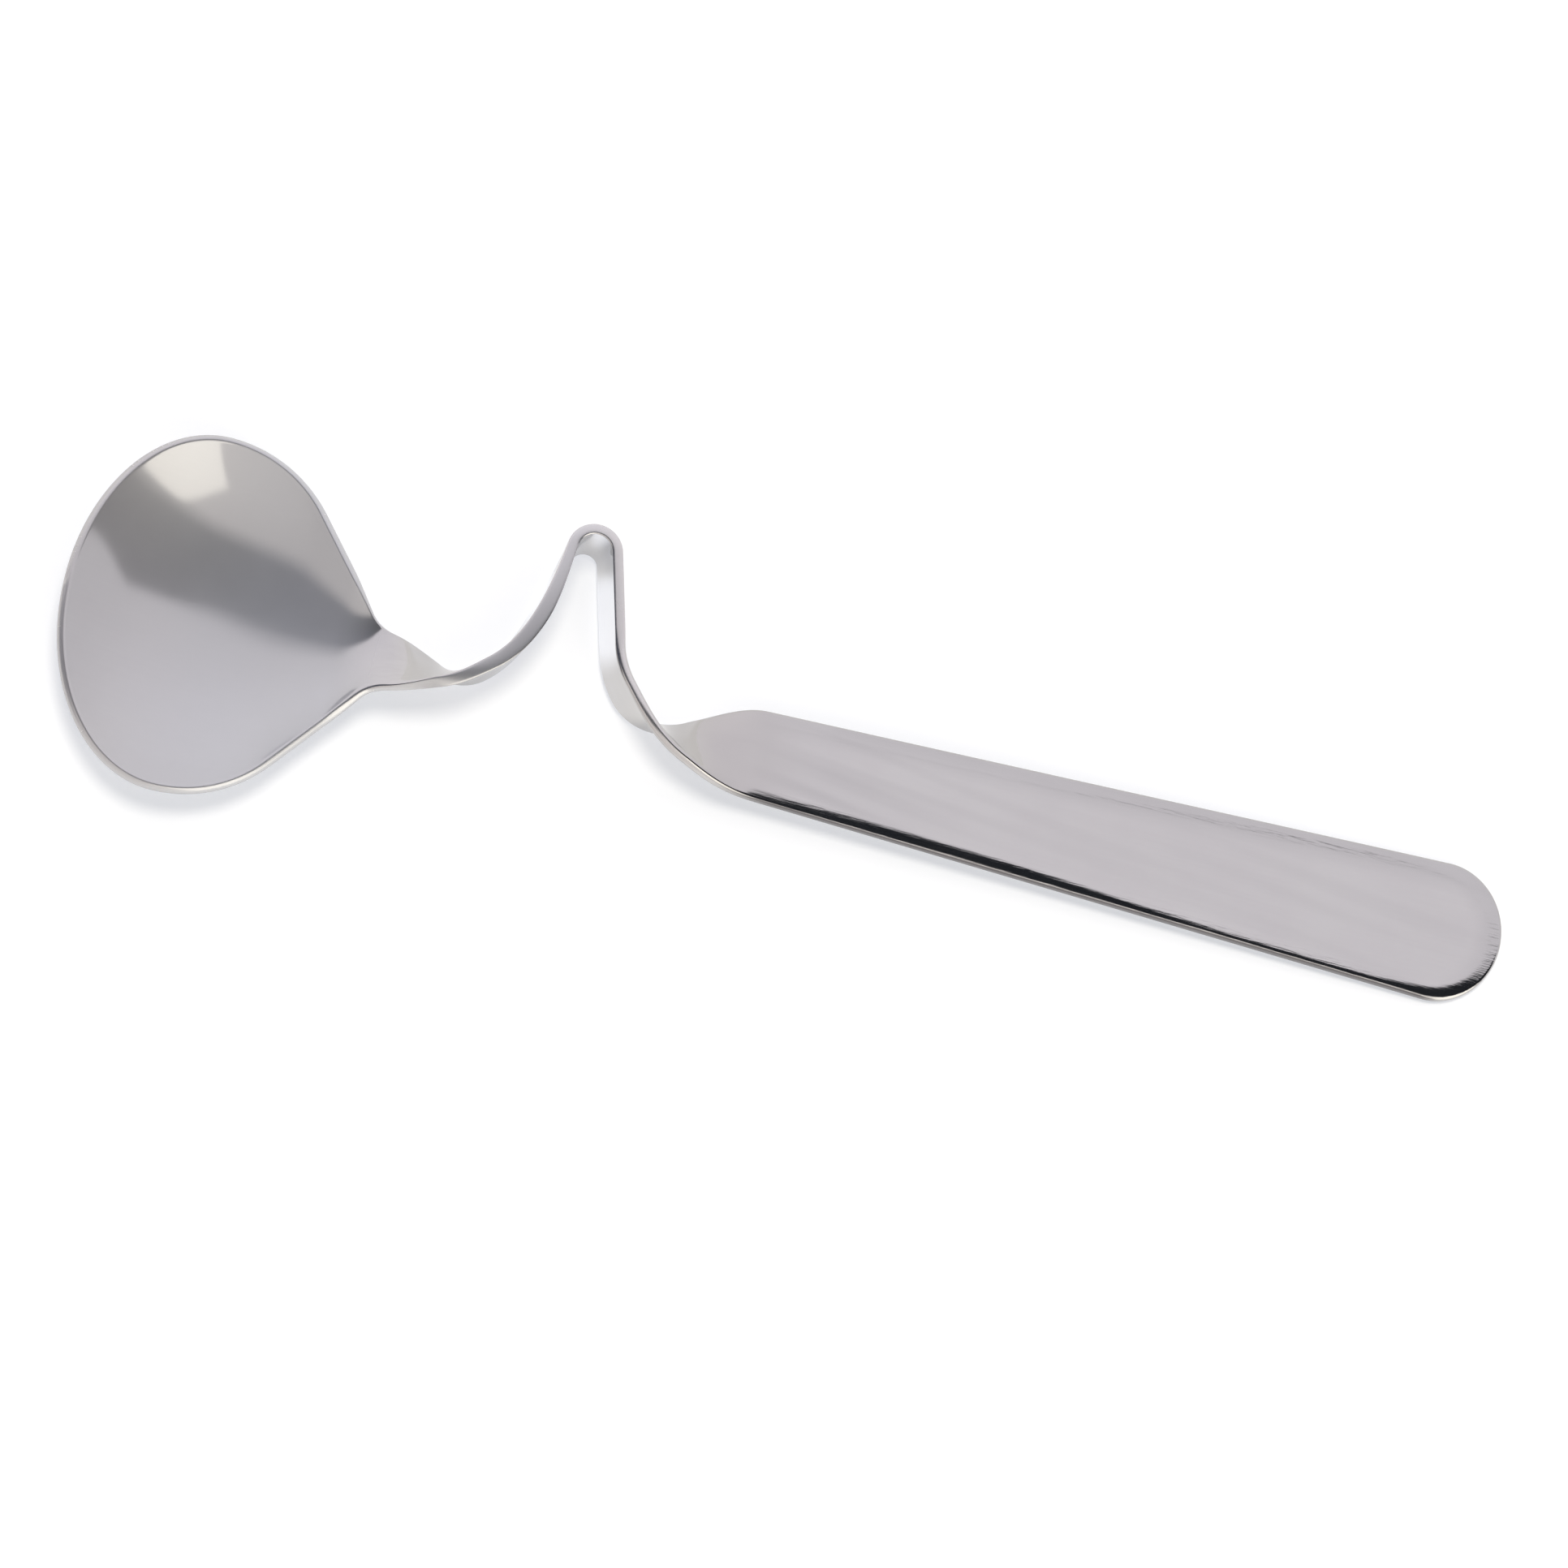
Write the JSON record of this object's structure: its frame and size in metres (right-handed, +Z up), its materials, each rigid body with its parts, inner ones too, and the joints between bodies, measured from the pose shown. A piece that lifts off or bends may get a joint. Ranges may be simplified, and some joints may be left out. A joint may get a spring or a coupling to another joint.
{
  "type": "jar spoon",
  "caption": "Stainless spoon with a broad drawn bowl, a neck turned on edge and bent into a hook that hangs over a jar's rim, and a flat handle that widens to a rounded end.",
  "frame": {"origin": "on the ground below the middle of the spoon's box, with the spoon lying on its bowl and its handle's end", "axes": "+X from the bowl to the handle's end, +Y to the hook's peak, +Z up, out of the bowl"},
  "size_m": [0.1752, 0.044, 0.0095],
  "materials": {
    "stainless_steel": "polished"
  },
  "bodies": {
    "root": {"jar_spoon": "stainless_steel"}
  },
  "joints": []
}
